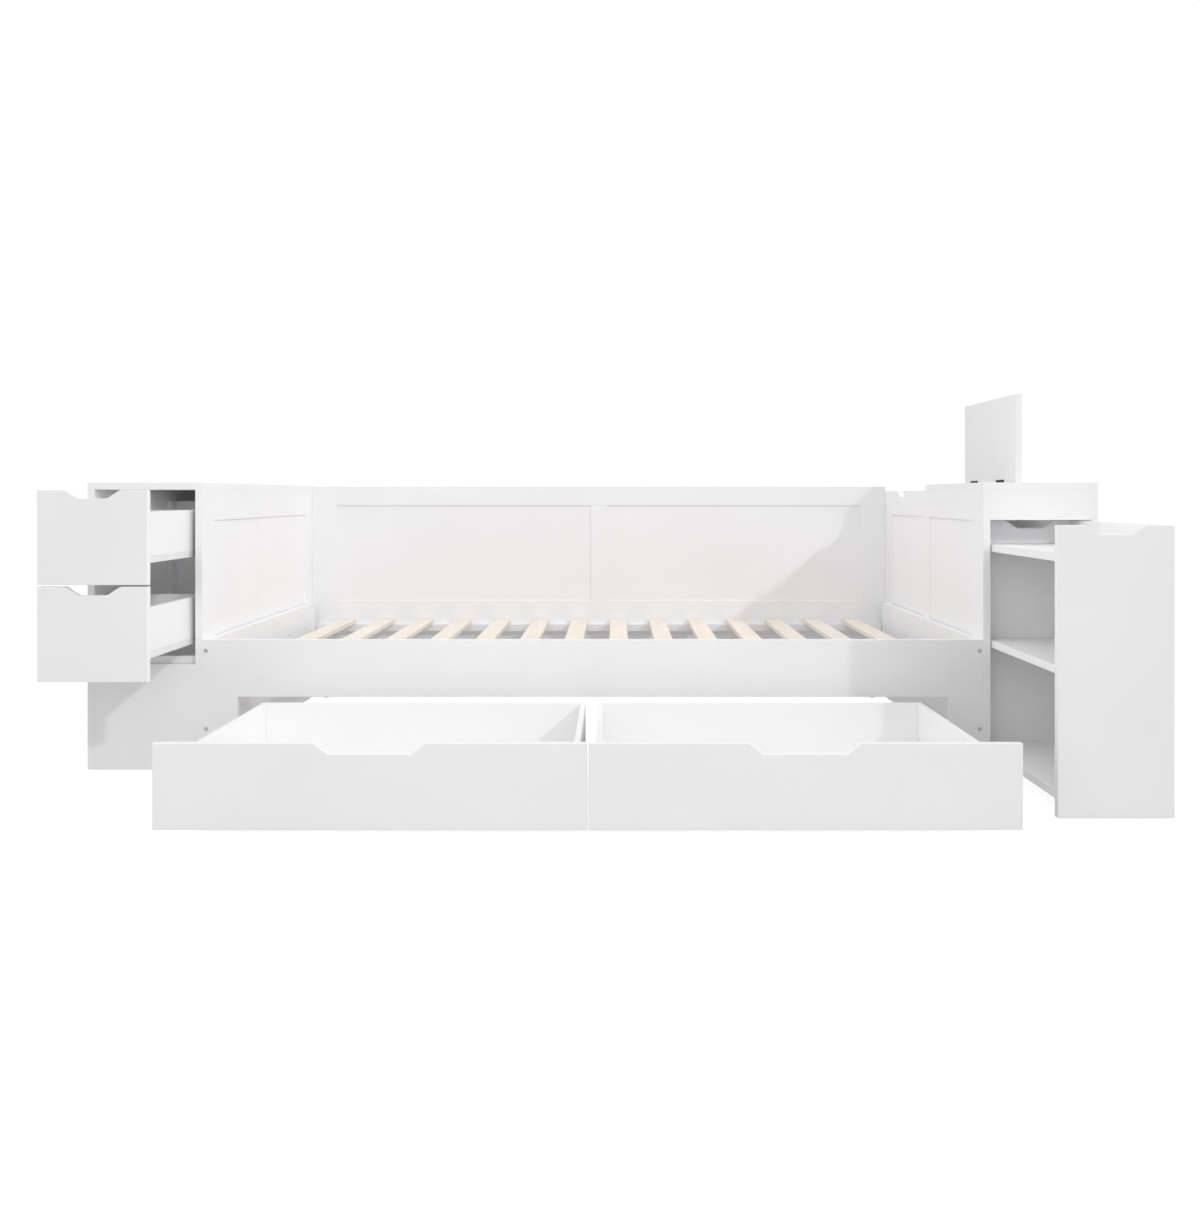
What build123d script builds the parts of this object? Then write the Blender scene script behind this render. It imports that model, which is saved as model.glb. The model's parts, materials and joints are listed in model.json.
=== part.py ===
"""A corner daybed with a slatted platform, a drawer cabinet at its left end, a pull-out
shelf cabinet with a lidded bin at its right end, and two rolling drawers under the platform.

Millimetres, +Z up. The origin is on the floor at the centre of the footprint that the bed
takes up with every drawer out, so FRONT is the plane of the cabinet fronts.
Every moving piece is drawn open: the drawers and the shelf unit out, the lid upright.
"""

import os

from build123d import *

os.makedirs("parts", exist_ok=True)

# ---------------------------------------------------------------- driving dimensions
WIDTH = 2532.0  # over both cabinets
DEPTH = 1044.0  # cabinet front to the rear of the back panel
TOP = 723.0  # floor to the cabinet tops
CABINET = 288.0  # width of each end cabinet
BOARD = 18.0  # thickness of the laminated boards
THIN_BOARD = 12.0  # thickness of the drawer box walls
EASE = 0.8  # rounding on the edges of a board
GLIDE = 4.0  # height of the plastic glides that the boards stand on

BED_PULL = 524.0  # how far each moving piece stands out
SIDE_PULL = 285.0
SHELF_PULL = 426.0

RAIL = (186.0, 329.0)  # bottom and top of the front rail
LEG_WIDTH = 88.0
SIDE_BOARD_BOTTOM = 85.0
MATTRESS_LENGTH = 1920.0  # clear length between the side boards
SLAT_TOP = 269.0
SLAT_COUNT = 14
SLAT_SIZE = (55.0, 15.0)  # width, thickness
LEDGER = (25.0, 24.0)  # depth, height of the strips that carry the slats

GUARD_STILE = 82.0
GUARD_RAIL = 78.5  # height of the guard's top rail
BACK_TOP = 721.0
BACK_BOARD = 20.0
BACK_STILE = 83.0
BACK_MIDDLE = 56.0
BACK_RAIL = 64.5
PANEL_FLOOR = 332.0  # lower edge of the recessed panels in the back
PANEL = 9.0  # thickness of a recessed panel
RECESS = 4.0  # how far a panel sits behind its frame

DECK = 268.0  # underside of the deck below the side drawers
PARTITION_LEFT = 500.0  # cabinet front to the rear wall of the drawer bay
PARTITION_TOP = 674.0
CLEAT = 43.0

APRON_BOTTOM = 629.0
PARTITION_RIGHT = 517.0  # cabinet front to the wall between shelf bay and bin
BIN_FLOOR = 385.0
BIN_REAR = 1014.0
LID_FRONT = 530.0
LID_REAR = 1022.0
LID_HEIGHT = 288.0

# ---------------------------------------------------------------- derived positions
FRONT = -(DEPTH - BED_PULL) / 2
BACK = FRONT + DEPTH
HALF = WIDTH / 2
INNER = HALF - CABINET  # bed-side face of each guard
BAY_OUT = HALF - BOARD  # the cabinet's clear width runs from BAY_IN to BAY_OUT
BAY_IN = INNER + BOARD
UNDER_TOP = TOP - BOARD
SLAT_BOTTOM = SLAT_TOP - SLAT_SIZE[1]
BACK_FACE = BACK - BACK_BOARD


def save(part, name):
    """Names a finished part and writes it as the node of that name."""
    part.label = name
    export_step(part, f"parts/{name}.step")


def board(x, y, z, ease=EASE):
    """A board between the limits x, y and z, each a (low, high) pair, with eased edges."""
    with BuildPart() as piece:
        with BuildSketch(Plane.XY.offset(z[0])):
            with Locations(((x[0] + x[1]) / 2, (y[0] + y[1]) / 2)):
                Rectangle(x[1] - x[0], y[1] - y[0])
        extrude(amount=z[1] - z[0])
        if ease:
            fillet(piece.edges(), ease)
    return piece.part


def group(parts):
    """Several separate solids that share one node."""
    return Compound(children=parts) if len(parts) > 1 else parts[0]


def mirrored(x):
    """The limits x on the other side of the bed's middle plane."""
    return (-x[1], -x[0])


def notched_front(x, y, z, notch, ease=1.2):
    """A front board with a finger notch in the middle of its top edge.

    notch is (width at the top, width at the bottom, depth, corner radius).
    """
    top_width, low_width, deep, radius = notch
    middle = (x[0] + x[1]) / 2
    outline = [
        (x[0], z[0]),
        (x[1], z[0]),
        (x[1], z[1]),
        (middle + top_width / 2, z[1]),
        (middle + low_width / 2, z[1] - deep),
        (middle - low_width / 2, z[1] - deep),
        (middle - top_width / 2, z[1]),
        (x[0], z[1]),
    ]
    with BuildPart() as piece:
        with BuildSketch(Plane.XZ.offset(-y[1])) as face:
            with BuildLine():
                Polyline(*outline, close=True)
            make_face()
            inside = [v for v in face.vertices() if x[0] + 1 < v.X < x[1] - 1]
            fillet(inside, radius)
        extrude(amount=y[1] - y[0])
        faces = piece.faces().filter_by(Axis.Y)
        fillet([e for f in faces for e in f.edges()], ease)
    return piece.part


def rod(axis, centre, radius, start, end):
    """A round rod along "X", "Y" or "Z" between start and end.

    centre holds the two other coordinates, in X, Y, Z order.
    """
    plane = {
        "X": Plane(origin=(start, centre[0], centre[1]), x_dir=(0, 1, 0), z_dir=(1, 0, 0)),
        "Y": Plane(origin=(centre[0], start, centre[1]), x_dir=(1, 0, 0), z_dir=(0, 1, 0)),
        "Z": Plane(origin=(centre[0], centre[1], start)),
    }[axis]
    with BuildPart() as piece:
        with BuildSketch(plane):
            Circle(radius)
        extrude(amount=end - start)
    return piece.part


# ================================================================ screws and their holes
BOLT_HEIGHTS = (105.5, 301.5)  # leg bolts, driven into the ends of the side boards
BOLT_X = INNER - BOARD / 2
BOLT_LENGTH = 50.0
BOLT_RADIUS = 3.0
BOLT_HEAD = 5.5
HEAD_DEPTH = 3.0
SCREW_Z = 255.0  # screws that hold the side boards to the guards
SCREW_SPACING = 186.0
SCREW_COUNT = 5
SCREW_FIRST = 130.0  # cabinet front to the first screw
SCREW_RADIUS = 2.0
SCREW_HEAD = 4.5
SCREW_LENGTH = 30.0
screw_ys = [FRONT + SCREW_FIRST + i * SCREW_SPACING for i in range(SCREW_COUNT)]


def stud(axis, centre, start, head, shank, head_depth, length, direction):
    """A screw whose head's outer face is at start and whose shank points in direction."""
    ends = sorted((start, start + direction * head_depth))
    far = sorted((start + direction * head_depth, start + direction * length))
    top = rod(axis, centre, head, *ends)
    return top + rod(axis, centre, shank, *far)


leg_bolts = [
    stud("Y", (side * BOLT_X, z), FRONT, BOLT_HEAD, BOLT_RADIUS, HEAD_DEPTH, BOLT_LENGTH, 1)
    for side in (-1, 1)
    for z in BOLT_HEIGHTS
]
board_screws = [
    stud(
        "X",
        (y, SCREW_Z),
        side * (INNER - BOARD),
        SCREW_HEAD,
        SCREW_RADIUS,
        HEAD_DEPTH,
        SCREW_LENGTH,
        side,
    )
    for side in (-1, 1)
    for y in screw_ys
]


def drilled(part, studs):
    """The part with the room that each screw takes up cut away."""
    for one in studs:
        part = part - one
    return part


save(group(leg_bolts + board_screws), "frame_screws")

# ================================================================ left cabinet
full_depth = (FRONT, BACK)
bay = (BAY_IN, BAY_OUT)

save(board((-HALF, -BAY_OUT), full_depth, (GLIDE, UNDER_TOP)), "left_outer_side")
save(board((-HALF, -INNER), full_depth, (UNDER_TOP, TOP)), "left_cabinet_top")
save(board(mirrored(bay), (FRONT, FRONT + BOARD), (GLIDE, DECK)), "left_lower_panel")
deck_y = (FRONT + BOARD, FRONT + PARTITION_LEFT)
save(board(mirrored(bay), deck_y, (DECK, DECK + BOARD)), "left_drawer_deck")
left_wall_y = (FRONT + PARTITION_LEFT, FRONT + PARTITION_LEFT + THIN_BOARD)
save(board(mirrored(bay), left_wall_y, (DECK + BOARD, PARTITION_TOP)), "left_partition")

cleat_y = (FRONT + PARTITION_LEFT - CLEAT, FRONT + PARTITION_LEFT)
cleat_xs = ((BAY_IN, BAY_IN + THIN_BOARD), (BAY_OUT - THIN_BOARD, BAY_OUT))
cleats = [board(mirrored(x), cleat_y, (DECK + BOARD, PARTITION_TOP)) for x in cleat_xs]
save(group(cleats), "left_partition_cleats")

# ================================================================ guards, framed and panelled
guard_x = (INNER, BAY_IN)
panel_x = (INNER + RECESS, INNER + RECESS + PANEL)
guard_top = UNDER_TOP - GUARD_RAIL
PANEL_LIFT = 6.0  # lower edge of the guard panels above the slats
REAR_STILE = 938.0  # cabinet front to the rear stile of each guard
PANEL_JOINT = 450.0  # cabinet front to the joint between the left guard's two panels
PANEL_GAP = 1.0
MIDDLE_STILE = (485.0, 552.0)  # cabinet front to both edges of the right guard's middle stile
guard_low = SLAT_TOP + PANEL_LIFT
rear_stile = FRONT + REAR_STILE
middle_stile = (FRONT + MIDDLE_STILE[0], FRONT + MIDDLE_STILE[1])
stile_z = (GLIDE, UNDER_TOP)

left_guard = [
    board(mirrored(guard_x), (FRONT, FRONT + GUARD_STILE), stile_z),
    board(mirrored(guard_x), (rear_stile, BACK), stile_z),
    board(mirrored(guard_x), (FRONT + GUARD_STILE, rear_stile), (guard_top, UNDER_TOP)),
    board(mirrored(guard_x), (FRONT + GUARD_STILE, rear_stile), (GLIDE, guard_low)),
]
left_studs = [s for s in board_screws if s.center().X < 0]
save(group([drilled(piece, left_studs) for piece in left_guard]), "left_guard_frame")
left_panel_ys = (
    (FRONT + GUARD_STILE, FRONT + PANEL_JOINT - PANEL_GAP / 2),
    (FRONT + PANEL_JOINT + PANEL_GAP / 2, rear_stile),
)
left_panels = [board(mirrored(panel_x), y, (guard_low, guard_top), 0) for y in left_panel_ys]
save(group(left_panels), "left_guard_panels")

# The right guard has a middle stile, and a cable notch in its top edge behind the lid.
CABLE_Y = FRONT + 805.0
CABLE_NOTCH = (90.0, 52.0, 18.0)  # top width, bottom width, depth
CABLE_CORNER = 6.0  # rounding of the notch's corners
with BuildPart() as notched_rail:
    with BuildSketch(Plane.YZ.offset(INNER)) as rail_face:
        with BuildLine():
            half_top, half_low = CABLE_NOTCH[0] / 2, CABLE_NOTCH[1] / 2
            Polyline(
                (FRONT + GUARD_STILE, guard_top),
                (rear_stile, guard_top),
                (rear_stile, UNDER_TOP),
                (CABLE_Y + half_top, UNDER_TOP),
                (CABLE_Y + half_low, UNDER_TOP - CABLE_NOTCH[2]),
                (CABLE_Y - half_low, UNDER_TOP - CABLE_NOTCH[2]),
                (CABLE_Y - half_top, UNDER_TOP),
                (FRONT + GUARD_STILE, UNDER_TOP),
                close=True,
            )
        make_face()
        reach = half_top + 1
        fillet([v for v in rail_face.vertices() if abs(v.Y - CABLE_Y) < reach], CABLE_CORNER)
    extrude(amount=BOARD)
    flat = notched_rail.faces().filter_by(Axis.X)
    fillet([e for f in flat for e in f.edges()], EASE)

right_guard = [
    board(guard_x, (FRONT, FRONT + GUARD_STILE), stile_z),
    board(guard_x, (rear_stile, BACK), stile_z),
    board(guard_x, middle_stile, (guard_low, guard_top)),
    board(guard_x, (FRONT + GUARD_STILE, rear_stile), (GLIDE, guard_low)),
    notched_rail.part,
]
right_studs = [s for s in board_screws if s.center().X > 0]
save(group([drilled(piece, right_studs) for piece in right_guard]), "right_guard_frame")
panel_ys = ((FRONT + GUARD_STILE, middle_stile[0]), (middle_stile[1], rear_stile))
right_panels = [board(panel_x, y, (guard_low, guard_top), 0) for y in panel_ys]
save(group(right_panels), "right_guard_panels")

# ================================================================ right cabinet
top_rear = FRONT + PARTITION_RIGHT + BOARD / 2
save(board((BAY_OUT, HALF), full_depth, (GLIDE, UNDER_TOP)), "right_outer_side")
save(board((INNER, HALF), (FRONT, top_rear), (UNDER_TOP, TOP)), "right_cabinet_top")
save(board(bay, (FRONT, FRONT + BOARD), (APRON_BOTTOM, UNDER_TOP)), "right_apron")
right_wall_y = (FRONT + PARTITION_RIGHT, FRONT + PARTITION_RIGHT + BOARD)
save(board(bay, right_wall_y, (GLIDE, UNDER_TOP)), "right_partition")
bin_y = (right_wall_y[1], FRONT + BIN_REAR)
save(board(bay, bin_y, (BIN_FLOOR, BIN_FLOOR + BOARD)), "bin_floor")

backs = [
    board(mirrored(bay), (BACK - BOARD, BACK), (GLIDE, UNDER_TOP)),
    board(bay, (FRONT + BIN_REAR, FRONT + BIN_REAR + BOARD), (GLIDE, UNDER_TOP)),
]
save(group(backs), "cabinet_backs")

# ================================================================ lid and its butt hinges
PIN_X = BAY_OUT - 3.0
PIN_Z = UNDER_TOP - 2.6
LEAF = 1.5
LEAF_HEIGHT = (27.0, 36.5)  # reach of the fixed leaf and of the lid's leaf from the pin
LEAF_LAP = 0.5  # how far a barrel's tab runs into its leaf
TAB_RELIEF = 0.4  # the lid's barrels stand this far off the side panel
HINGE_LENGTH = 70.0
KNUCKLE = 2.7
PIN_RADIUS = 1.25
BORE = PIN_RADIUS + 0.05
KNUCKLE_GAP = 0.3
HINGE_YS = (FRONT + 668.0, FRONT + 918.0)
LID_BOTTOM = UNDER_TOP + 0.4  # the upright lid stands just clear of the side panel
CLEARANCE = 4.9  # radius round the pin that the other leaf stays out of


def knuckles(middle, which):
    """Hinge barrels about the pin: the two outer ones, or the one between them."""
    third = HINGE_LENGTH / 3
    if which == "inner":
        return [(middle - third / 2, middle + third / 2)]
    return [
        (middle - HINGE_LENGTH / 2, middle - third / 2 - KNUCKLE_GAP),
        (middle + third / 2 + KNUCKLE_GAP, middle + HINGE_LENGTH / 2),
    ]


def hinge_leaf(middle, which):
    """One leaf with its barrels. The outer barrels are on the fixed leaf, below the pin."""
    fixed = which == "outer"
    x = (BAY_OUT - LEAF, BAY_OUT)
    y = (middle - HINGE_LENGTH / 2, middle + HINGE_LENGTH / 2)
    edge = PIN_Z - CLEARANCE if fixed else LID_BOTTOM
    z = (PIN_Z - LEAF_HEIGHT[0], edge) if fixed else (edge, PIN_Z + LEAF_HEIGHT[1])
    leaf = board(x, y, z, 0)
    tab_face = BAY_OUT if fixed else BAY_OUT - TAB_RELIEF
    tab_z = (edge - LEAF_LAP, PIN_Z) if fixed else (PIN_Z, edge + LEAF_LAP)
    for span in knuckles(middle, which):
        leaf = leaf + board((tab_face - LEAF, tab_face), span, tab_z, 0)
        leaf = leaf + rod("Y", (PIN_X, PIN_Z), KNUCKLE, *span)
    return leaf - rod("Y", (PIN_X, PIN_Z), PIN_RADIUS if fixed else BORE, *y)


lid_y = (FRONT + LID_FRONT, FRONT + LID_REAR)
save(board((BAY_OUT, HALF), lid_y, (LID_BOTTOM, LID_BOTTOM + LID_HEIGHT)), "bin_lid")
save(group([hinge_leaf(y, "inner") for y in HINGE_YS]), "lid_hinge_leaves")
pins = [
    rod("Y", (PIN_X, PIN_Z), PIN_RADIUS, y - HINGE_LENGTH / 2, y + HINGE_LENGTH / 2)
    for y in HINGE_YS
]
save(group([hinge_leaf(y, "outer") for y in HINGE_YS] + pins), "cabinet_hinge_leaves")

# ================================================================ platform
front_y = (FRONT, FRONT + BOARD)
leg_x = (INNER - LEG_WIDTH, INNER)
save(board(mirrored((-leg_x[0], leg_x[0])), front_y, RAIL), "front_rail")
legs = [board(x, front_y, (GLIDE, RAIL[1])) for x in (mirrored(leg_x), leg_x)]
save(group([drilled(leg, leg_bolts) for leg in legs]), "front_legs")

SIDE_BOARD_REAR = FRONT + 998.0
SLAT_EASE = 2.5  # rounding on the edges of a slat
END_PLAY = 4.0  # between a slat's end and the rail it meets
LEDGER_PLAY = 2.0
CORNER = 20.0  # rounded upper rear corner of a side board
side_boards = []
for side in (-1, 1):
    with BuildPart() as side_board:
        with BuildSketch(Plane.YZ.offset(side * (INNER - BOARD / 2))) as profile:
            with Locations((SIDE_BOARD_REAR, RAIL[1])):
                Rectangle(
                    SIDE_BOARD_REAR - front_y[1],
                    RAIL[1] - SIDE_BOARD_BOTTOM,
                    align=(Align.MAX, Align.MAX),
                )
            fillet(profile.vertices().sort_by(Axis.Y)[-2:].sort_by(Axis.Z)[-1], CORNER)
        extrude(amount=BOARD / 2, both=True)
        flat = side_board.faces().filter_by(Axis.X)
        fillet([e for f in flat for e in f.edges()], EASE)
    side_boards.append(drilled(side_board.part, leg_bolts + board_screws))
save(group(side_boards), "side_boards")

ledger_z = (SLAT_BOTTOM - LEDGER[1], SLAT_BOTTOM)
ledger_x = (LEDGER_PLAY - MATTRESS_LENGTH / 2, MATTRESS_LENGTH / 2 - LEDGER_PLAY)
ledger_ys = ((front_y[1], front_y[1] + LEDGER[0]), (BACK_FACE - LEDGER[0], BACK_FACE))
save(group([board(ledger_x, y, ledger_z) for y in ledger_ys]), "slat_ledgers")

slat_gap = (MATTRESS_LENGTH - SLAT_COUNT * SLAT_SIZE[0]) / (SLAT_COUNT + 1)
slat_y = (front_y[1] + END_PLAY, BACK_FACE - END_PLAY)
slat_z = (SLAT_BOTTOM, SLAT_TOP)
slats = []
for i in range(SLAT_COUNT):
    left = -MATTRESS_LENGTH / 2 + slat_gap + i * (slat_gap + SLAT_SIZE[0])
    slats.append(board((left, left + SLAT_SIZE[0]), slat_y, slat_z, SLAT_EASE))
save(group(slats), "slats")

# ================================================================ back
back_y = (BACK_FACE, BACK)
stile_x = (INNER - BACK_STILE, INNER)
between = (-stile_x[0], stile_x[0])
panel_top = BACK_TOP - BACK_RAIL
back_pieces = [
    board(mirrored(stile_x), back_y, (GLIDE, BACK_TOP)),
    board(stile_x, back_y, (GLIDE, BACK_TOP)),
    board(between, back_y, (panel_top, BACK_TOP)),
    board(between, back_y, (RAIL[0], PANEL_FLOOR)),
    board((-BACK_MIDDLE / 2, BACK_MIDDLE / 2), back_y, (PANEL_FLOOR, panel_top)),
]
save(group(back_pieces), "back_frame")
back_panel_x = (BACK_MIDDLE / 2, stile_x[0])
back_panel_y = (BACK_FACE + RECESS, BACK_FACE + RECESS + PANEL)
back_panels = [
    board(x, back_panel_y, (PANEL_FLOOR, panel_top), 0)
    for x in (mirrored(back_panel_x), back_panel_x)
]
save(group(back_panels), "back_panels")

# ================================================================ glides
GLIDE_RADIUS = 7.0
GLIDE_INSET = 60.0  # from the front and the rear of a cabinet
glide_xs = (-HALF + BOARD / 2, -INNER - BOARD / 2, INNER + BOARD / 2, HALF - BOARD / 2)
glide_ys = (FRONT + GLIDE_INSET, FRONT + DEPTH / 2, BACK - GLIDE_INSET)
glides = [rod("Z", (x, y), GLIDE_RADIUS, 0, GLIDE) for x in glide_xs for y in glide_ys]
stand_x = INNER - LEG_WIDTH / 2
stand_ys = (FRONT + BOARD / 2, BACK - BACK_BOARD / 2)
glides += [rod("Z", (s * stand_x, y), GLIDE_RADIUS, 0, GLIDE) for s in (-1, 1) for y in stand_ys]
save(group(glides), "foot_glides")

# ================================================================ side drawers on roller slides
FRONT_GAP = 1.5
SIDE_NOTCH = (126.0, 66.0, 19.5, 16.0)
SLIDE_GAP = 12.5  # room for a slide on each side of the box
BOX_LENGTH = 380.0
BOX_LIFT = 63.5  # box bottom above the bottom of its front
BOX_HEIGHT = 101.5
BOTTOM_PANEL = 5.0
STEEL = 1.2
SLIDE_HEIGHT = 16.0
SLIDE_LENGTH = 400.0
ROLLER = 6.5
ROLLER_WIDTH = 7.5
ROLLER_PLAY = 0.5  # between a roller and the profile it is riveted to
ROLLER_INSET = (12.0, 10.0)  # of the drawer's roller from its rear, of the channel's from its mouth
STUB = 2.0
MOUTH = 3.0  # between a closed drawer's front and the channels
LIP = 3.5  # the channel's flanges stop this far short of the box
UPPER_FRONT = (488.5, 703.0)  # bottom and top of each drawer front
LOWER_FRONT = (269.5, 484.5)
BOX_BOTTOM_LIFT = 6.0

side_front_x = mirrored((BAY_IN + FRONT_GAP, BAY_OUT - FRONT_GAP))
side_front_y = (FRONT - SIDE_PULL, FRONT - SIDE_PULL + BOARD)
side_box_x = (-BAY_OUT + SLIDE_GAP, -BAY_IN - SLIDE_GAP)
side_box_y = (side_front_y[1], side_front_y[1] + BOX_LENGTH)
mouth_y = FRONT + BOARD + MOUTH
channel_y = (mouth_y, mouth_y + SLIDE_LENGTH)


def drawer_box(name, x, y, z, wall, bottom):
    """Writes two sides, a back and a bottom for a box with the outer limits x, y and z.

    bottom is (lift of the bottom panel above the walls' lower edge, its thickness).
    """
    inside = (x[0] + wall, x[1] - wall)
    sides = [board((x[0], inside[0]), y, z), board((inside[1], x[1]), y, z)]
    save(group(sides), f"{name}_sides")
    save(board(inside, (y[1] - wall, y[1]), z), f"{name}_back")
    low = z[0] + bottom[0]
    save(board(inside, (y[0], y[1] - wall), (low, low + bottom[1]), 0), f"{name}_bottom")


def roller(x, y, z):
    """A nylon roller turning on a riveted stub, both along X."""
    wheel = rod("X", (y, z), ROLLER, *x) - rod("X", (y, z), STUB, *x)
    return wheel, rod("X", (y, z), STUB, *x)


def drawer_slides(box_x, box_y, low):
    """The two profiles under a box, each with a roller at its rear end."""
    pieces = []
    z = (low - SLIDE_HEIGHT, low)
    for side, edge in ((-1, box_x[0]), (1, box_x[1])):
        web = sorted((edge, edge - side * STEEL))
        foot = sorted((edge, edge - side * THIN_BOARD))
        bar = board(web, box_y, z, 0) + board(foot, box_y, (low - STEEL, low), 0)
        pieces.append(bar)
        span = sorted((edge, edge + side * (ROLLER_WIDTH + ROLLER_PLAY)))
        wheel, stub = roller(span, box_y[1] - ROLLER_INSET[0], low - SLIDE_HEIGHT / 2)
        pieces += [wheel, stub]
    return pieces


def cabinet_channels(low):
    """The two channels on the cabinet's walls, each with a roller at its mouth."""
    pieces = []
    z = (low - SLIDE_HEIGHT - STEEL, low + STEEL)
    for side, wall in ((-1, -BAY_OUT), (1, -BAY_IN)):
        web = sorted((wall, wall - side * STEEL))
        flange = sorted((wall, wall - side * (SLIDE_GAP - LIP)))
        bar = board(web, channel_y, z, 0)
        bar = bar + board(flange, channel_y, (z[0], z[0] + STEEL), 0)
        bar = bar + board(flange, channel_y, (z[1] - STEEL, z[1]), 0)
        pieces.append(bar)
        span = sorted((wall - side * STEEL, wall - side * (STEEL + ROLLER_WIDTH)))
        wheel, stub = roller(span, mouth_y + ROLLER_INSET[1], low - SLIDE_HEIGHT / 2)
        pieces += [wheel, stub]
    return pieces


channels = []
for name, front_z in (("upper", UPPER_FRONT), ("lower", LOWER_FRONT)):
    save(
        notched_front(side_front_x, side_front_y, front_z, SIDE_NOTCH),
        f"{name}_drawer_front",
    )
    low = front_z[0] + BOX_LIFT
    box_z = (low, low + BOX_HEIGHT)
    bottom = (BOX_BOTTOM_LIFT, BOTTOM_PANEL)
    drawer_box(f"{name}_drawer", side_box_x, side_box_y, box_z, THIN_BOARD, bottom)
    save(group(drawer_slides(side_box_x, side_box_y, low)), f"{name}_drawer_slides")
    channels += cabinet_channels(low)
save(group(channels), "cabinet_slide_channels")

# ================================================================ wheels
WHEEL = 16.0
WHEEL_WIDTH = 14.0
AXLE = 2.5
AXLE_BORE = AXLE + 0.05
TREAD_ROUND = 2.5
FORK = 1.5  # thickness of the fork's pressed steel
FORK_GAP = 1.0  # between wheel and fork
FORK_PLATE = (8.0, 30.0)  # how far the top plate reaches past the cheeks, its length
CHEEK_WIDTH = 14.0
CHEEK_DROP = 6.0  # how far a cheek reaches below the axle


def wheel_pair(xs, y):
    """Two wheels on one axle line, with rounded treads."""
    wheels = []
    for x in xs:
        with BuildPart() as wheel:
            with BuildSketch(Plane(origin=(x, y, WHEEL), x_dir=(0, 1, 0), z_dir=(1, 0, 0))):
                Circle(WHEEL)
                Circle(AXLE_BORE, mode=Mode.SUBTRACT)
            extrude(amount=WHEEL_WIDTH / 2, both=True)
            rims = wheel.edges().filter_by(GeomType.CIRCLE).sort_by(SortBy.RADIUS)[-2:]
            fillet(rims, TREAD_ROUND)
        wheels.append(wheel.part)
    return wheels


def forks(xs, ys, under):
    """A fixed fork and its axle for each wheel, hung from a panel's underside."""
    pieces = []
    reach = WHEEL_WIDTH / 2 + FORK_GAP + FORK
    half_plate = reach + FORK_PLATE[0]
    for x in xs:
        for y in ys:
            plate_y = (y - FORK_PLATE[1] / 2, y + FORK_PLATE[1] / 2)
            cheek_y = (y - CHEEK_WIDTH / 2, y + CHEEK_WIDTH / 2)
            fork = board((x - half_plate, x + half_plate), plate_y, (under - FORK, under), 0)
            for side in (-1, 1):
                cheek = sorted((x + side * reach, x + side * (reach - FORK)))
                fork = fork + board(cheek, cheek_y, (WHEEL - CHEEK_DROP, under), 0)
            axle = rod("X", (y, WHEEL), AXLE, x - reach, x + reach)
            pieces += [fork - axle, axle]
    return pieces


# ================================================================ rolling drawers under the bed
BED_NOTCH = (229.0, 172.0, 22.0, 5.0)
BED_FRONT_Z = (8.0, 184.5)
BED_BOX_Z = (30.0, 184.0)
BED_BOX_X = (16.0, 806.0)
BED_BOX_LENGTH = 442.0
BED_BOTTOM_LIFT = 10.0
BED_WHEEL_INSET = (60.0, 50.0)  # of a wheel from the box's side, from its front or rear
bed_front_x = (FRONT_GAP, INNER - LEG_WIDTH - FRONT_GAP)
bed_front_y = (FRONT - BED_PULL, FRONT - BED_PULL + BOARD)
bed_box_y = (bed_front_y[1], bed_front_y[1] + BED_BOX_LENGTH)
bed_wheel_xs = (BED_BOX_X[0] + BED_WHEEL_INSET[0], BED_BOX_X[1] - BED_WHEEL_INSET[0])
bed_wheel_ys = (bed_box_y[0] + BED_WHEEL_INSET[1], bed_box_y[1] - BED_WHEEL_INSET[1])
bed_under = BED_BOX_Z[0] + BED_BOTTOM_LIFT

for name, side in (("left", -1), ("right", 1)):
    front_x = bed_front_x if side > 0 else mirrored(bed_front_x)
    box_x = BED_BOX_X if side > 0 else mirrored(BED_BOX_X)
    wheel_xs = [side * x for x in bed_wheel_xs]
    save(
        notched_front(front_x, bed_front_y, BED_FRONT_Z, BED_NOTCH),
        f"{name}_bed_drawer_front",
    )
    bottom = (BED_BOTTOM_LIFT, BOTTOM_PANEL)
    drawer_box(f"{name}_bed_drawer", box_x, bed_box_y, BED_BOX_Z, THIN_BOARD, bottom)
    save(group(forks(wheel_xs, bed_wheel_ys, bed_under)), f"{name}_bed_drawer_forks")
    for place, wheel_y in zip(("front", "rear"), bed_wheel_ys):
        save(group(wheel_pair(wheel_xs, wheel_y)), f"{name}_bed_drawer_{place}_wheels")

# ================================================================ pull-out shelf unit
UNIT_GAP = 3.5  # between the unit and the walls of its bay
UNIT_TOP = 627.0
UNIT_NOTCH = (127.0, 68.0, 20.0, 12.0)
SHELF_TOPS = (59.0, 327.0, 567.5)
UNIT_BACK = 72.0  # front face of the unit's back board, from the cabinet front
UNIT_BACK_LOW = 20.0  # the back board stops this far above the floor
UNIT_WHEEL_INSET = (35.0, 40.0, 30.0)  # of a wheel from the unit's side, front and back board
unit_x = (BAY_IN + UNIT_GAP, BAY_OUT - UNIT_GAP)
unit_front_x = (BAY_IN + FRONT_GAP, BAY_OUT - FRONT_GAP)
unit_front_y = (FRONT - SHELF_PULL, FRONT - SHELF_PULL + BOARD)
unit_y = (unit_front_y[1], FRONT + UNIT_BACK)
unit_under = SHELF_TOPS[0] - BOARD
open_x = (unit_x[0], unit_x[1] - BOARD)

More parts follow.
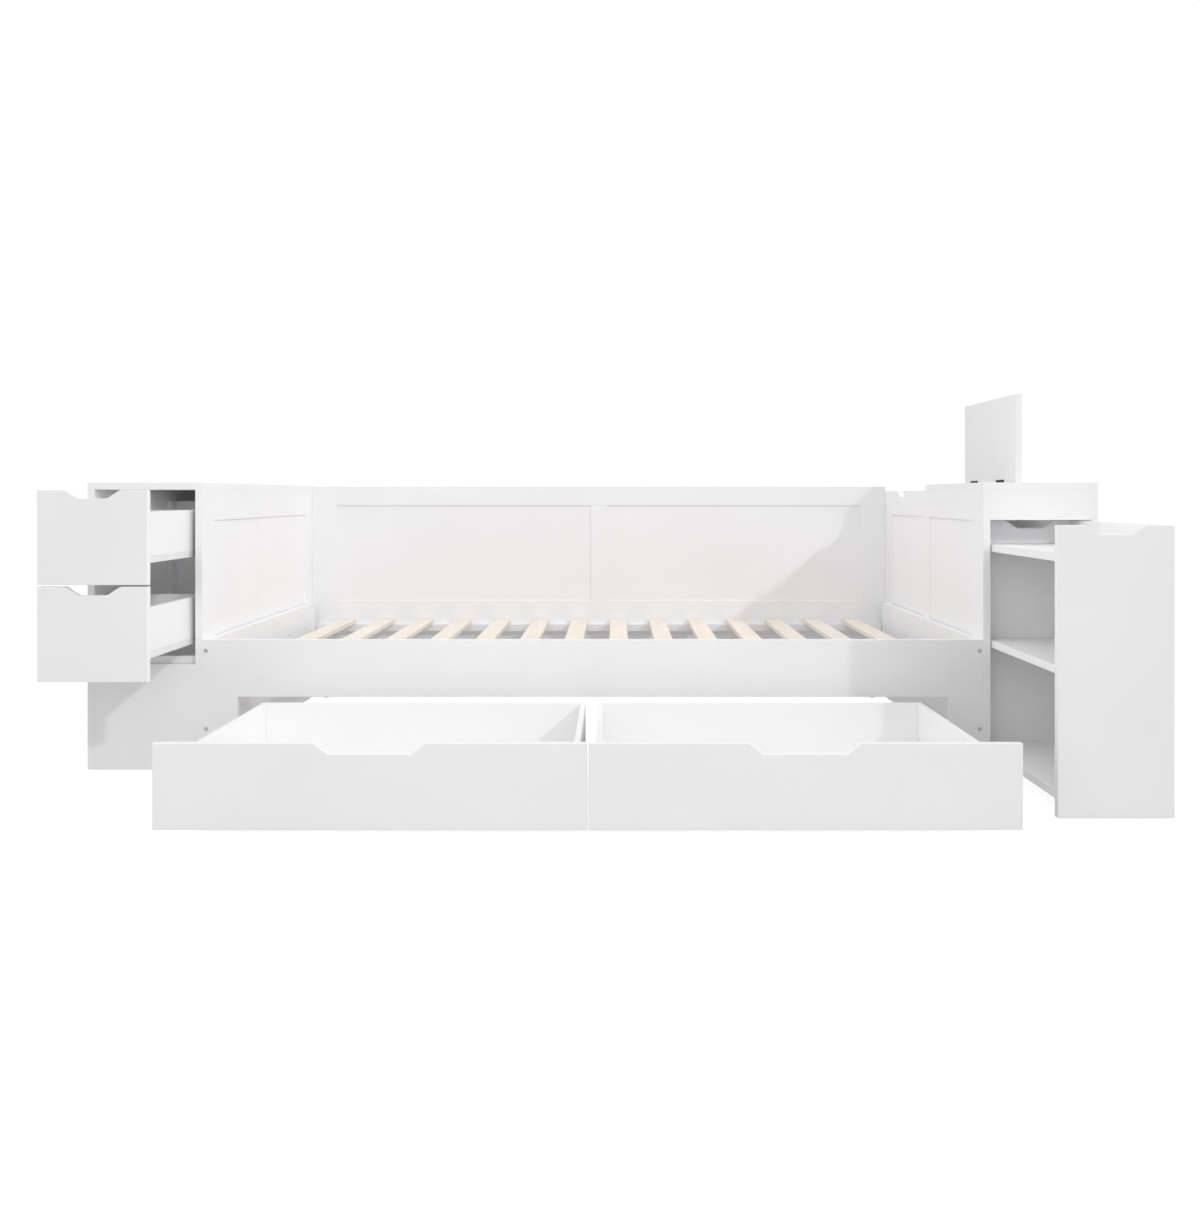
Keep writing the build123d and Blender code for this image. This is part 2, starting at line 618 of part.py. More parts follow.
save(
    notched_front(unit_front_x, unit_front_y, (GLIDE, UNIT_TOP), UNIT_NOTCH),
    "shelf_unit_front",
)
unit_back_y = (unit_y[1], unit_y[1] + BOARD)
save(
    notched_front(unit_x, unit_back_y, (UNIT_BACK_LOW, UNIT_TOP), UNIT_NOTCH),
    "shelf_unit_back",
)
save(board((open_x[1], unit_x[1]), unit_y, (unit_under, UNIT_TOP)), "shelf_unit_side")
shelves = [board(open_x, unit_y, (top - BOARD, top)) for top in SHELF_TOPS]
save(group(shelves), "shelf_unit_shelves")
unit_wheel_xs = (unit_x[0] + UNIT_WHEEL_INSET[0], unit_x[1] - UNIT_WHEEL_INSET[0])
unit_wheel_ys = (unit_y[0] + UNIT_WHEEL_INSET[1], unit_y[1] - UNIT_WHEEL_INSET[2])
save(group(forks(unit_wheel_xs, unit_wheel_ys, unit_under)), "shelf_unit_forks")
for place, wheel_y in zip(("front", "rear"), unit_wheel_ys):
    save(group(wheel_pair(unit_wheel_xs, wheel_y)), f"shelf_unit_{place}_wheels")
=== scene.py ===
# %% [markdown]
# A daybed with storage is a good first lesson in making furniture look real, because almost
# all of it is one colour. White boards get their life from small things: eased edges that
# catch the light, thin shadow lines where boards meet, the faint skin of the lacquer, and
# fittings in steel and plastic that show how the piece goes together.
#
# The boards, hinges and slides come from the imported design, which is loaded as a frame that
# never moves. Everything that is added later takes its place from that frame.

# %% Load the frame
import json
import math

import bpy
import numpy as np
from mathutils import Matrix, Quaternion, Vector


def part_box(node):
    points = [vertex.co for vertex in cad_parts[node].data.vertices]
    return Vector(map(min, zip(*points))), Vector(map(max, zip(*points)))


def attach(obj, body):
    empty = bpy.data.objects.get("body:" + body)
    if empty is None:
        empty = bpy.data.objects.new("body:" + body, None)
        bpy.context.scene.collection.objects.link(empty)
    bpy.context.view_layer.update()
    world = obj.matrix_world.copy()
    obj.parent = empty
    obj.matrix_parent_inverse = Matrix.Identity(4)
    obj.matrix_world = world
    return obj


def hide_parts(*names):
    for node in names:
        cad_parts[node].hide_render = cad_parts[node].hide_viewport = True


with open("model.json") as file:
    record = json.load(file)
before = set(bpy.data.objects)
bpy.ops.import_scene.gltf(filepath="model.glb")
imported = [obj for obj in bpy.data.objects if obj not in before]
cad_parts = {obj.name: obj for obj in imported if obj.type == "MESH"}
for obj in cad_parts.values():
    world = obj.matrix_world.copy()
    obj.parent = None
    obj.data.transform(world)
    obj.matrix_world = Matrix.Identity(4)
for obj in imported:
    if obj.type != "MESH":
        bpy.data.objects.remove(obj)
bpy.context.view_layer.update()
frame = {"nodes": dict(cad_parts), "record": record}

# %% [markdown]
# Sizes are easiest to think about in millimetres, while Blender works in metres. Colours are
# easiest to name as the hex values of a paint card, while the renderer wants linear light.
# One factor and one tiny function keep both habits apart from the rest of the script.

# %% Units and colours
MM = 0.001


def linear(hex_colour):
    """A paint-card colour such as "F2F2F0" as the linear RGBA that shaders expect."""
    parts = [int(hex_colour[i : i + 2], 16) / 255 for i in (0, 2, 4)]
    light = [p / 12.92 if p <= 0.04045 else ((p + 0.055) / 1.055) ** 2.4 for p in parts]
    return (*light, 1.0)


print("card white F2F2F0 is", [round(value, 3) for value in linear("F2F2F0")])

# %% [markdown]
# Surfaces and surroundings are both drawn by graphs of nodes. Adding a node by hand is always
# the same work: choose its kind, set its options, fill in its sockets or draw wires to them.
# One function does that, so that each finish below reads as a list of what flows where.

# %% Add a node
def add_node(tree, kind, inputs=None, output=0, **settings):
    """Adds a node and gives back one of its outputs, so that it can be wired to the next.

    Each input is a value, a hex colour, or another node's output, which gets linked.
    """
    node = tree.nodes.new(kind)
    for name, value in settings.items():
        setattr(node, name, value)
    for socket, value in (inputs or {}).items():
        if isinstance(value, bpy.types.NodeSocket):
            tree.links.new(value, node.inputs[socket])
        elif isinstance(value, str):
            node.inputs[socket].default_value = linear(value)
        else:
            node.inputs[socket].default_value = value
    return node.outputs[output] if len(node.outputs) else node


# %% [markdown]
# The camera stands a little to the right of the bed's middle, at the height of a seated
# person's eyes, and looks straight and level at the back. A level camera keeps upright
# edges upright. Tilting it down would make them lean, so the bed is brought into the
# picture by shifting the lens instead, as an architectural photographer does.

# %% Camera
FRONT_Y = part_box("front_rail")[0].y
CAMERA_DISTANCE = 2.82  # from the lens to the plane of the cabinet fronts
EYE_HEIGHT = 0.690
CAMERA_X = 0.058

lens = bpy.data.cameras.new("studio_camera")
lens.lens = 33.47
lens.sensor_width = 36.0
lens.shift_x = -0.0132
lens.shift_y = -0.0907
lens.dof.use_dof = False
camera = bpy.data.objects.new("studio_camera", lens)
camera.location = (CAMERA_X, FRONT_Y - CAMERA_DISTANCE, EYE_HEIGHT)
camera.rotation_euler = (math.radians(90), 0, 0)
bpy.context.scene.collection.objects.link(camera)
bpy.context.scene.camera = camera
print("camera at", [round(value, 3) for value in camera.location])

# %% [markdown]
# White furniture on white needs light that is almost shadowless, with one slightly stronger
# side so that the boards still turn. A sun lamp in front, high on the right, gives that side:
# it draws the soft diagonal of shade across the back panel. A wide softbox overhead makes the
# upward faces the brightest, and a small panel near the camera opens the shelves.
#
# The insides of the cabinets would still be black, because hardly any light finds its way in.
# A photographer would hide a small lamp in each of them, and so does this scene: a very weak
# panel under each cabinet top.

# %% Lamps
TO_SUN = Vector((0.834, -1.0, 0.726)).normalized()
SUN_STRENGTH = 0.53
SUN_SPREAD = math.radians(2.2)  # a wider sun has softer edges to its shadows
SOFTBOX_SIZE = 5.0
SOFTBOX_WATTS = 58.0
SOFTBOX_PLACE = (0.0, 0.0, 3.4)
FILL_SIZE = 1.6
FILL_WATTS = 8.0
FILL_PLACE = (0.0, -2.9, 1.5)
FILL_AIM = (0.0, 0.3, 0.2)
BAY_SIZE = 0.14
BAY_WATTS = 0.11
BAY_DEPTH = 0.28  # behind the cabinet's front
BAY_GAP = 3 * MM  # below the cabinet's top


def soft_panel(name, size, watts, place, aim):
    """A square panel of soft light that looks from its place to the aim point."""
    data = bpy.data.lights.new(name, "AREA")
    data.shape = "SQUARE"
    data.size = size
    data.energy = watts
    panel = bpy.data.objects.new(name, data)
    panel.location = place
    panel.rotation_euler = (Vector(place) - Vector(aim)).to_track_quat("Z", "Y").to_euler()
    panel.visible_camera = False
    return panel


def bay_glow(side):
    """A weak panel under a cabinet's top that looks straight down."""
    low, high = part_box(f"{side}_cabinet_top")
    x, y = (low.x + high.x) / 2, low.y + BAY_DEPTH
    return soft_panel(f"{side}_bay_glow", BAY_SIZE, BAY_WATTS, (x, y, low.z - BAY_GAP), (x, y, 0))


sun_data = bpy.data.lights.new("key_sun", "SUN")
sun_data.energy = SUN_STRENGTH
sun_data.angle = SUN_SPREAD
sun = bpy.data.objects.new("key_sun", sun_data)
sun.rotation_euler = TO_SUN.to_track_quat("Z", "Y").to_euler()
softbox = soft_panel("overhead_softbox", SOFTBOX_SIZE, SOFTBOX_WATTS, SOFTBOX_PLACE, (0, 0, 0))
fill = soft_panel("front_fill", FILL_SIZE, FILL_WATTS, FILL_PLACE, FILL_AIM)
lamps = [sun, softbox, fill, bay_glow("left"), bay_glow("right")]
for lamp in lamps:
    bpy.context.scene.collection.objects.link(lamp)
print("lamps:", ", ".join(lamp.name for lamp in lamps))

# %% [markdown]
# The even part of the light comes from the surround. It acts like a studio with white side
# walls: bright to the left and right, a little brighter towards the camera than away from it,
# and dim everywhere else. The direction in which a ray leaves picks the brightness, with a sum
# on its X and Y. The surround is drawn brighter than it shines, so that the backdrop stays
# clean white while the boards keep their greys.

# %% Surround
SURROUND_LIGHT = 0.10  # how brightly the surround shines from every side
CAMERA_SIDE = 0.24  # what is added towards the camera
SIDE_WALLS = 1.14  # what is added towards the left and right
BACKDROP_WHITE = 1.05  # how brightly it is drawn

surround = bpy.data.worlds.new("white_surround")
surround.use_nodes = True
sky = surround.node_tree
sky.nodes.clear()
way = add_node(sky, "ShaderNodeTexCoord", output="Generated")
sideways = add_node(sky, "ShaderNodeSeparateXYZ", {"Vector": way}, "X")
forwards = add_node(sky, "ShaderNodeSeparateXYZ", {"Vector": way}, "Y")
to_sides = add_node(sky, "ShaderNodeMath", {0: sideways}, operation="ABSOLUTE")
to_camera = add_node(
    sky, "ShaderNodeMath", {0: forwards, 1: -1.0}, operation="MULTIPLY", use_clamp=True
)
level = add_node(
    sky,
    "ShaderNodeMath",
    {0: to_camera, 1: CAMERA_SIDE, 2: SURROUND_LIGHT},
    operation="MULTIPLY_ADD",
)
level = add_node(
    sky, "ShaderNodeMath", {0: to_sides, 1: SIDE_WALLS, 2: level}, operation="MULTIPLY_ADD"
)
shine = add_node(sky, "ShaderNodeBackground", {"Color": "FFFFFF", "Strength": level})
drawn = add_node(sky, "ShaderNodeBackground", {"Color": "FFFFFF", "Strength": BACKDROP_WHITE})
seen = add_node(sky, "ShaderNodeLightPath", output="Is Camera Ray")
both = add_node(sky, "ShaderNodeMixShader", {0: seen, 1: shine, 2: drawn})
add_node(sky, "ShaderNodeOutputWorld", {"Surface": both})
bpy.context.scene.world = surround
bpy.context.scene.view_settings.view_transform = "Standard"
print("surround shines at", SURROUND_LIGHT, "and at", SURROUND_LIGHT + SIDE_WALLS, "sideways")

# %% [markdown]
# A finish is a small recipe of nodes around one Principled shader. The recipe is the same
# every time: start from the object's own coordinates in metres, make a pattern whose scale
# is worked out from a real size, and let it touch colour, roughness and bump very lightly.
# Numbers that are the same all over the surface go straight on the shader.
#
# Noise seldom leaves the middle of its range, so the middle is stretched to the full range
# before it is used. Most finishes also share one thing, a tone that drifts in soft clouds
# between two near colours, because no real surface is exactly one colour.

# %% Start and end of a finish
MIDDLE = {"From Min": 0.3, "From Max": 0.7}  # where nearly all of a noise's values lie
FIRST, SECOND, MIXED = 6, 7, 2  # a colour mix's two colour inputs and its colour output


def per(size_mm):
    """The scale that makes a texture's features about size_mm wide."""
    return 1 / (size_mm * MM)


def start_finish(name):
    """A material with an empty tree, and a node for the object's own coordinates."""
    finish = bpy.data.materials.new(name)
    finish.use_nodes = True
    tree = finish.node_tree
    tree.nodes.clear()
    return finish, tree, add_node(tree, "ShaderNodeTexCoord", output="Object")


def end_finish(tree, surface):
    """Wires a Principled shader with these sockets to the material's output."""
    shader = add_node(tree, "ShaderNodeBsdfPrincipled", surface)
    add_node(tree, "ShaderNodeOutputMaterial", {"Surface": shader})


def drifting_tone(tree, place, size_mm, detail, light, shade):
    """A colour that drifts between two tones in soft clouds about size_mm wide."""
    wanted = {"Vector": place, "Scale": per(size_mm), "Detail": detail}
    clouds = add_node(tree, "ShaderNodeTexNoise", wanted)
    share = add_node(tree, "ShaderNodeMapRange", {**MIDDLE, "Value": clouds})
    return add_node(
        tree, "ShaderNodeMix", {0: share, FIRST: light, SECOND: shade}, MIXED, data_type="RGBA"
    )


print("features of 2.6 mm need a scale of", round(per(2.6)))

# %% [markdown]
# The boards are MDF with a sprayed satin lacquer. Sprayed paint never lies quite flat: it
# sets in a skin of tiny dimples, like orange peel, a few millimetres apart. From across a
# room you don't see the dimples, but they soften the reflections, and that is what tells
# satin paint from plastic sheet. Slow drifts in tone stand for the uneven film thickness.

# %% Satin white lacquer on MDF
DRIFT_MM = 260  # how far apart the tones drift
FILM_MM = 45  # thick and thin places in the film, which shine differently
PEEL_MM = 2.6
PEEL_DEPTH = 0.035 * MM
DUST_MM = 7
DUST_DEPTH = 0.02 * MM


def satin_lacquer(name, light, shade, roughness):
    """Sprayed polyurethane lacquer: light and shade are the two tones it drifts between."""
    finish, tree, place = start_finish(name)
    film, peel, dust = (
        add_node(
            tree,
            "ShaderNodeTexNoise",
            {"Vector": place, "Scale": per(size_mm), "Detail": detail},
        )
        for size_mm, detail in ((FILM_MM, 2.0), (PEEL_MM, 1.0), (DUST_MM, 4.0))
    )
    limits = {"Value": film, "To Min": roughness - 0.05, "To Max": roughness + 0.05}
    dimples = {"Height": peel, "Distance": PEEL_DEPTH, "Strength": 1.0}
    skin = add_node(tree, "ShaderNodeBump", dimples)
    specks = {"Height": dust, "Distance": DUST_DEPTH, "Strength": 1.0, "Normal": skin}
    surface = {
        "Base Color": drifting_tone(tree, place, DRIFT_MM, 3.0, light, shade),
        "Roughness": add_node(tree, "ShaderNodeMapRange", {**MIDDLE, **limits}),
        "Normal": add_node(tree, "ShaderNodeBump", specks),
        "IOR": 1.49,
        "Metallic": 0.0,
    }
    end_finish(tree, surface)
    return finish


board_lacquer = satin_lacquer("satin_white_lacquer_on_mdf", "F7F7F8", "F4F4F5", 0.42)
print("made", board_lacquer.name)

# %% [markdown]
# Drawer bottoms are thin board with a printed-paper foil, pressed on with a fine linen
# grain. The foil is flatter and duller than lacquer, and a touch warmer, so the eye reads the
# bottom of a drawer as another sheet than its walls. The threads of the grain are drawn
# 1.4 mm wide, coarser than real ones, so that they can be seen.

# %% Paper foil on thin board
THREAD_MM = 1.4
THREAD_LENGTH = 14  # times as long as wide
THREAD_DEPTH = 0.03 * MM
FOIL_DRIFT_MM = 180


def paper_foil():
    """Matt white foil with its pressed grain, one set of threads each way."""
    finish, tree, place = start_finish("matt_white_paper_foil")
    threads = []
    for squeeze in ((1, 1 / THREAD_LENGTH, 1), (1 / THREAD_LENGTH, 1, 1)):
        run = add_node(tree, "ShaderNodeMapping", {"Vector": place, "Scale": squeeze})
        wanted = {"Vector": run, "Scale": per(THREAD_MM), "Detail": 2.0}
        threads.append(add_node(tree, "ShaderNodeTexNoise", wanted))
    along, across = threads
    limits = {"Value": along, "To Min": 0.55, "To Max": 0.66}
    weft = {"Height": along, "Distance": THREAD_DEPTH, "Strength": 1.0}
    grain = add_node(tree, "ShaderNodeBump", weft)
    warp = {"Height": across, "Distance": THREAD_DEPTH, "Strength": 1.0, "Normal": grain}
    surface = {
        "Base Color": drifting_tone(tree, place, FOIL_DRIFT_MM, 3.0, "F4F4F3", "F0F0EF"),
        "Roughness": add_node(tree, "ShaderNodeMapRange", {**MIDDLE, **limits}),
        "Normal": add_node(tree, "ShaderNodeBump", warp),
        "IOR": 1.45,
        "Metallic": 0.0,
    }
    end_finish(tree, surface)
    return finish


drawer_foil = paper_foil()
print("made", drawer_foil.name)

# %% [markdown]
# A group of like pieces, such as slats or screws, is one node with many separate solids.
# Walking from triangle to triangle finds each solid, and its box says where it is and
# which way it points. That is all that is needed to place a pattern or a fitting.

# %% Find the separate solids in a node
def solids_of(node_name):
    """The box of each separate solid in a CAD node, as (low, high) arrays in metres."""
    mesh = frame["nodes"][node_name].data
    points = np.array([v.co for v in mesh.vertices])
    rounded = np.round(points / (0.01 * MM)).astype(np.int64)
    _, same = np.unique(rounded, axis=0, return_inverse=True)
    same = same.reshape(-1)
    root = list(range(same.max() + 1))

    def find(i):
        while root[i] != i:
            root[i] = root[root[i]]
            i = root[i]
        return i

    for face in mesh.polygons:
        first, *others = (find(same[i]) for i in face.vertices)
        for other in others:
            root[find(other)] = find(first)
    owner = np.array([find(i) for i in same])
    return [(points[owner == o].min(0), points[owner == o].max(0)) for o in np.unique(owner)]


slat_lefts = sorted(low[0] for low, high in solids_of("slats"))
SLAT_PITCH = (slat_lefts[-1] - slat_lefts[0]) / (len(slat_lefts) - 1)
print(len(slat_lefts), "slats,", round(SLAT_PITCH / MM, 1), "mm apart")

# %% [markdown]
# The slats are planed pine, left bare. A sawn board shows its yearly rings as long, nearly
# straight lines: pale early wood, and a thin darker line where each summer ended, about 4 mm
# apart. Here and there the grain parts round a knot. A wave texture squeezed across
# the slat draws the rings, and noise that is stretched along it makes them wander. These few
# warm lines are the only colour on the bed, so they are what the eye goes to first.
#
# Every slat comes from another plank, so the pattern jumps by a random step from slat to
# slat. The step is looked up from the slat's place across the bed.

# %% Where each plank's pattern starts
PLANK_JUMP = (0.4, 3.0, 0.4)  # metres that the pattern may jump from slat to slat
PLAY = 0.1  # of a pitch, so that no slat's edge lies on a step


def plank_place(tree, place):
    """The place on the slat, moved by a random step that is the same all over one slat."""
    across = add_node(tree, "ShaderNodeSeparateXYZ", {"Vector": place}, "X")
    count = {0: across, 1: 1 / SLAT_PITCH, 2: PLAY - slat_lefts[0] / SLAT_PITCH}
    steps = add_node(tree, "ShaderNodeMath", count, operation="MULTIPLY_ADD")
    number = add_node(tree, "ShaderNodeMath", {0: steps}, operation="FLOOR")
    chance = add_node(
        tree, "ShaderNodeTexWhiteNoise", {"W": number}, "Color", noise_dimensions="1D"
    )
    moved = {0: chance, 1: PLANK_JUMP, 2: place}
    return add_node(tree, "ShaderNodeVectorMath", moved, operation="MULTIPLY_ADD")


print("patterns jump by up to", PLANK_JUMP, "m from slat to slat")

# %% [markdown]
# Along the grain everything is long and slim. Each part of the pattern is therefore drawn in
# space that is squeezed along Y, by as many times as the feature is longer than it is wide.

# %% Planed pine
RING_SPACING = 4.2 * MM
WAVE_LENGTHS = math.tau / 20  # a wave texture of scale 1 repeats at this distance
FIBRE_MM = 0.9  # real fibres are finer, but wouldn't show
KNOT_SPACING_MM = 230
TONE_MM = 30
RING_RELIEF = 0.06 * MM  # planing leaves the hard late wood standing a little higher
FIBRE_RELIEF = 0.05 * MM
SQUEEZES = {"rings": 0.045, "tone": 1 / 12, "fibre": 1 / 40, "knots": 1 / 2}


def planed_pine():
    """Bare pine whose grain runs along Y and starts afresh on each slat."""
    finish, tree, place = start_finish("planed_bare_pine")
    plank = plank_place(tree, place)
    squeezed = {
        part: add_node(tree, "ShaderNodeMapping", {"Vector": plank, "Scale": (1, squeeze, 1)})
        for part, squeeze in SQUEEZES.items()
    }

    wanted = {"Vector": squeezed["rings"], "Scale": WAVE_LENGTHS / RING_SPACING}
    wandering = {"Distortion": 5.5, "Detail": 2.0, "Detail Scale": 0.35}
    rings = add_node(
        tree,
        "ShaderNodeTexWave",
        {**wanted, **wandering},
        "Fac",
        bands_direction="X",
        wave_profile="SAW",
    )
    summer = {"Value": rings, "From Min": 0.62, "From Max": 1.0, "To Min": 0.0, "To Max": 0.55}
    late_wood = add_node(tree, "ShaderNodeMapRange", summer)
    early_wood = drifting_tone(tree, squeezed["tone"], TONE_MM, 3.0, "F8F1EA", "F2E8DC")
    colours = {0: late_wood, FIRST: early_wood, SECOND: "E6D3BA"}
    ringed = add_node(tree, "ShaderNodeMix", colours, MIXED, data_type="RGBA")

    wanted = {"Vector": squeezed["fibre"], "Scale": per(FIBRE_MM), "Detail": 3.0}
    fibre = add_node(tree, "ShaderNodeTexNoise", wanted)
    limits = {"Value": fibre, "To Min": 0.10, "To Max": 0.0}
    streaks = add_node(tree, "ShaderNodeMapRange", {**MIDDLE, **limits})
    colours = {0: streaks, FIRST: ringed, SECOND: "D8BC98"}
    fibred = add_node(tree, "ShaderNodeMix", colours, MIXED, data_type="RGBA")

    wanted = {"Vector": squeezed["knots"], "Scale": per(KNOT_SPACING_MM), "Randomness": 1.0}
    lumps = add_node(tree, "ShaderNodeTexVoronoi", wanted, "Distance", feature="F1")
    core = {"Value": lumps, "From Min": 0.012, "From Max": 0.045, "To Min": 0.85, "To Max": 0.0}
    colours = {0: add_node(tree, "ShaderNodeMapRange", core), FIRST: fibred, SECOND: "C29A70"}
    knotted = add_node(tree, "ShaderNodeMix", colours, MIXED, data_type="RGBA")

    ridges = {"Height": late_wood, "Distance": RING_RELIEF, "Strength": 1.0}
    relief = add_node(tree, "ShaderNodeBump", ridges)
    hairs = {"Height": fibre, "Distance": FIBRE_RELIEF, "Strength": 1.0, "Normal": relief}
    limits = {"Value": rings, "To Min": 0.62, "To Max": 0.5}
    surface = {
        "Base Color": knotted,
        "Roughness": add_node(tree, "ShaderNodeMapRange", {**MIDDLE, **limits}),
        "Normal": add_node(tree, "ShaderNodeBump", hairs),
        "IOR": 1.52,
        "Metallic": 0.0,
    }
    end_finish(tree, surface)
    return finish


slat_pine = planed_pine()
print("made", slat_pine.name)

# %% [markdown]
# Two kinds of steel part are powder coated. The drawer slides have a white epoxy coat,
# which is baked on as powder and keeps a faint pebble. The hinges have a coarser one in matt
# black. The light breaks up on the pebbles, and so the eye takes them for painted metal and
# not for the smoother lacquer beside them. The steel itself can't be seen, so the shader is
# that of the plastic skin.

# %% Powder-coated steel
COAT_DRIFT_MM = 20


def powder_coat(name, light, shade, roughness, pebble_mm, pebble_depth_mm):
    """Baked powder on steel, with pebbles about pebble_mm across."""
    finish, tree, place = start_finish(name)
    wanted = {"Vector": place, "Scale": per(pebble_mm), "Detail": 2.0}
    pebble = add_node(tree, "ShaderNodeTexNoise", wanted)
    limits = {"Value": pebble, "To Min": roughness - 0.06, "To Max": roughness + 0.06}
    bumps = {"Height": pebble, "Distance": pebble_depth_mm * MM, "Strength": 1.0}
    surface = {
        "Base Color": drifting_tone(tree, place, COAT_DRIFT_MM, 2.0, light, shade),
        "Roughness": add_node(tree, "ShaderNodeMapRange", {**MIDDLE, **limits}),
        "Normal": add_node(tree, "ShaderNodeBump", bumps),
        "IOR": 1.5,
        "Metallic": 0.0,
    }
    end_finish(tree, surface)
    return finish


slide_coat = powder_coat("white_epoxy_coated_steel", "EDEDEC", "E6E6E5", 0.36, 1.6, 0.03)
hinge_coat = powder_coat("black_powder_coated_steel", "1B1B1D", "232326", 0.5, 0.9, 0.05)
print("made", slide_coat.name, "and", hinge_coat.name)

# %% [markdown]
# The screws, bolts and castor forks are zinc plated: bright, slightly blue, and never quite
# even, because the plating grows in small crystals. The crystals and a light brushing break
# a reflection into many small ones, which tells the eye that this is bare metal. A metal
# keeps the shader's default IOR.

# %% Bright zinc plate
CRYSTAL_MM = 2.5
SCRATCH_MM = 0.6
SCRATCH_LENGTH = 20  # times as long as wide
SCRATCH_DEPTH = 0.01 * MM


def zinc_plate():
    """Bright zinc over pressed steel: cool crystals, lightly brushed along Z."""
    finish, tree, place = start_finish("bright_zinc_plated_steel")
    wanted = {"Vector": place, "Scale": per(CRYSTAL_MM)}
    crystals = add_node(tree, "ShaderNodeTexVoronoi", wanted, "Color")
    grey = add_node(tree, "ShaderNodeRGBToBW", {"Color": crystals})
    colours = {0: grey, FIRST: "E4E6E9", SECOND: "D2D5DA"}
    squeeze = (1, 1, 1 / SCRATCH_LENGTH)
    brushed = add_node(tree, "ShaderNodeMapping", {"Vector": place, "Scale": squeeze})
    wanted = {"Vector": brushed, "Scale": per(SCRATCH_MM), "Detail": 2.0}
    scratch = add_node(tree, "ShaderNodeTexNoise", wanted)
    limits = {"Value": scratch, "To Min": 0.24, "To Max": 0.4}
    grooves = {"Height": scratch, "Distance": SCRATCH_DEPTH, "Strength": 1.0}
    surface = {
        "Base Color": add_node(tree, "ShaderNodeMix", colours, MIXED, data_type="RGBA"),
        "Roughness": add_node(tree, "ShaderNodeMapRange", {**MIDDLE, **limits}),
        "Normal": add_node(tree, "ShaderNodeBump", grooves),
        "Metallic": 1.0,
    }
    end_finish(tree, surface)
    return finish


fastener_zinc = zinc_plate()
print("made", fastener_zinc.name)

# %% [markdown]
# The plastics are moulded, so they take their surface from the steel of the mould, which is
# spark eroded to a fine even grit. It takes the shine off, which is what a cheap, tough part
# looks like. Nylon glides stay white and a little waxy. The wheels are grey with a tread that
# scuffs on the floor, so their roughness and tone wander more.

# %% Moulded plastics
GRIT_MM = 0.8
GRIT_DEPTH = 0.03 * MM


def moulded_plastic(name, light, shade, roughness, scuff_mm):
    """A moulded surface with spark-eroded grit and scuffs about scuff_mm across."""
    finish, tree, place = start_finish(name)
    wanted = {"Vector": place, "Scale": per(GRIT_MM), "Detail": 1.0}
    grit = add_node(tree, "ShaderNodeTexNoise", wanted)
    wanted = {"Vector": place, "Scale": per(scuff_mm), "Detail": 4.0}
    scuff = add_node(tree, "ShaderNodeTexNoise", wanted)
    limits = {"Value": scuff, "To Min": roughness - 0.07, "To Max": roughness + 0.07}
    pits = {"Height": grit, "Distance": GRIT_DEPTH, "Strength": 1.0}
    surface = {
        "Base Color": drifting_tone(tree, place, scuff_mm, 4.0, light, shade),
        "Roughness": add_node(tree, "ShaderNodeMapRange", {**MIDDLE, **limits}),
        "Normal": add_node(tree, "ShaderNodeBump", pits),
        "IOR": 1.53,
        "Metallic": 0.0,
    }
    end_finish(tree, surface)
    return finish


glide_nylon = moulded_plastic("moulded_white_nylon", "EFEEE8", "E4E3DC", 0.45, 9)
wheel_plastic = moulded_plastic("moulded_grey_wheel_plastic", "8A8C8E", "77797B", 0.55, 5)
print("made", glide_nylon.name, "and", wheel_plastic.name)

# %% [markdown]
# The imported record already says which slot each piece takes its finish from. Naming one
# finish for each slot dresses the whole object in a short loop, and any piece that is
# added later can ask for the same finish by slot.

# %% Dress the frame
finishes = {
    "white_board": board_lacquer,
    "white_liner": drawer_foil,
    "pine": slat_pine,
    "white_steel": slide_coat,
    "black_steel": hinge_coat,
    "zinc": fastener_zinc,
    "white_nylon": glide_nylon,
    "grey_plastic": wheel_plastic,
}


def dress(piece, slot):
    """Gives a piece the finish of its slot."""
    piece.data.materials.clear()
    piece.data.materials.append(finishes[slot])


slots = {part["node"]: part["material_slot"] for part in frame["record"]["subparts"]}
for node_name, slot_name in slots.items():
    dress(frame["nodes"][node_name], slot_name)
print("dressed", len(slots), "nodes in", len(finishes), "finishes")

# %% [markdown]
# Modelling happens in edit mode, where an operator acts on whatever is selected. Clicking
# isn't possible in a script, so faces and edges are picked by a test on where they are or
# how they look.

# %% Pick faces and edges
FACING = 0.9  # how far along an axis a normal points, at least, to count as facing it
TOUCHING = 1e-6  # metres


def deselect():
    """Leaves edit mode and clears the selection, so that an operator acts on nothing else."""
    if bpy.context.object and bpy.context.object.mode != "OBJECT":
        bpy.ops.object.mode_set(mode="OBJECT")
    bpy.ops.object.select_all(action="DESELECT")


def activate(piece):
    """Makes the piece the only one that is selected."""
    deselect()
    piece.select_set(True)
    bpy.context.view_layer.objects.active = piece


def clear_picks(mesh):
    """Leaves edit mode with nothing in the mesh picked."""
    bpy.ops.object.mode_set(mode="OBJECT")
    for part in (mesh.vertices, mesh.edges, mesh.polygons):
        part.foreach_set("select", [False] * len(part))


def pick_faces(piece, test):
    """Selects the faces that pass the test, and opens edit mode on them."""
    mesh = piece.data
    clear_picks(mesh)
    for face in mesh.polygons:
        face.select = bool(test(face))
    bpy.ops.object.mode_set(mode="EDIT")
    bpy.ops.mesh.select_mode(type="FACE")


